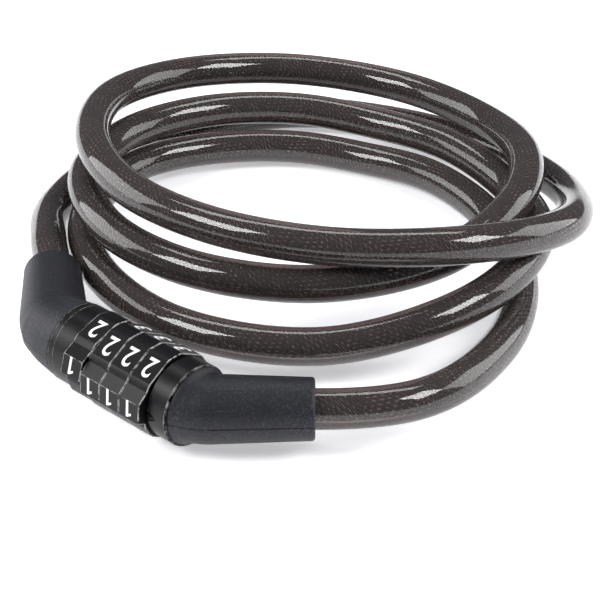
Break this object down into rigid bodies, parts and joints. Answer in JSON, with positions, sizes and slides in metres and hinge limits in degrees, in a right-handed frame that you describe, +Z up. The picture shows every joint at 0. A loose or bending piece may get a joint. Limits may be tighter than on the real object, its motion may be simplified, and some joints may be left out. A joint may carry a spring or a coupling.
{
  "type": "combination cable lock",
  "caption": "Combination cable lock for a bicycle: number dials on a slotted barrel, a toothed bolt that slides out of them, bent boots and a long coiled cable in a clear sheath.",
  "frame": {"origin": "on the surface that the lock lies on, straight below the middle of the dial stack", "axes": "+X along the lock's axis from the dials to the male half, +Y towards the cable's coil, +Z up"},
  "size_m": [0.1989, 0.2187, 0.0429],
  "materials": {
    "boot_rubber": "fine matte grain",
    "black_collar": "gloss black",
    "dial_black": "satin black, worn edges",
    "gate_brass": "machined",
    "cast_insert": "as cast",
    "ferrule_steel": "turned",
    "small_steel": "plated",
    "spring_steel": "rolled",
    "barrel_metal": "turned",
    "bolt_steel": "dark plated, bright flats",
    "clear_sheath": "smoky clear, glossy",
    "steel_rope": "stranded wire"
  },
  "bodies": {
    "female_half": {"female_boot": "boot_rubber", "female_collar": "black_collar", "female_insert": "cast_insert", "female_ferrule": "ferrule_steel", "female_set_screw": "small_steel", "dial_barrel": "barrel_metal", "thrust_washer": "small_steel", "click_spring": "spring_steel", "nose_ring": "barrel_metal", "nose_pins": "small_steel", "cable_sheath": "clear_sheath", "cable_rope": "steel_rope"},
    "dial_1": {"number_ring_1": "dial_black", "gate_ring_1": "gate_brass"},
    "dial_2": {"number_ring_2": "dial_black", "gate_ring_2": "gate_brass"},
    "dial_3": {"number_ring_3": "dial_black", "gate_ring_3": "gate_brass"},
    "dial_4": {"number_ring_4": "dial_black", "gate_ring_4": "gate_brass"},
    "male_half": {"bolt": "bolt_steel", "bolt_pin": "small_steel", "male_collar": "black_collar", "male_insert": "cast_insert", "male_ferrule": "ferrule_steel", "male_set_screw": "small_steel", "male_boot": "boot_rubber"}
  },
  "joints": [
    {"name": "dial_1_turn", "type": "hinge", "parent": "female_half", "child": "dial_1", "pos_m": [-0.0123, 0, 0.0137], "axis": [1, 0, 0], "continuous": true},
    {"name": "dial_2_turn", "type": "hinge", "parent": "female_half", "child": "dial_2", "pos_m": [-0.0041, 0, 0.0137], "axis": [1, 0, 0], "continuous": true},
    {"name": "dial_3_turn", "type": "hinge", "parent": "female_half", "child": "dial_3", "pos_m": [0.0041, 0, 0.0137], "axis": [1, 0, 0], "continuous": true},
    {"name": "dial_4_turn", "type": "hinge", "parent": "female_half", "child": "dial_4", "pos_m": [0.0123, 0, 0.0137], "axis": [1, 0, 0], "continuous": true},
    {"name": "bolt_slide", "type": "slide", "parent": "female_half", "child": "male_half", "axis": [1, 0, 0], "range_m": [0, 0.046], "deforming": ["cable_sheath", "cable_rope"]}
  ]
}
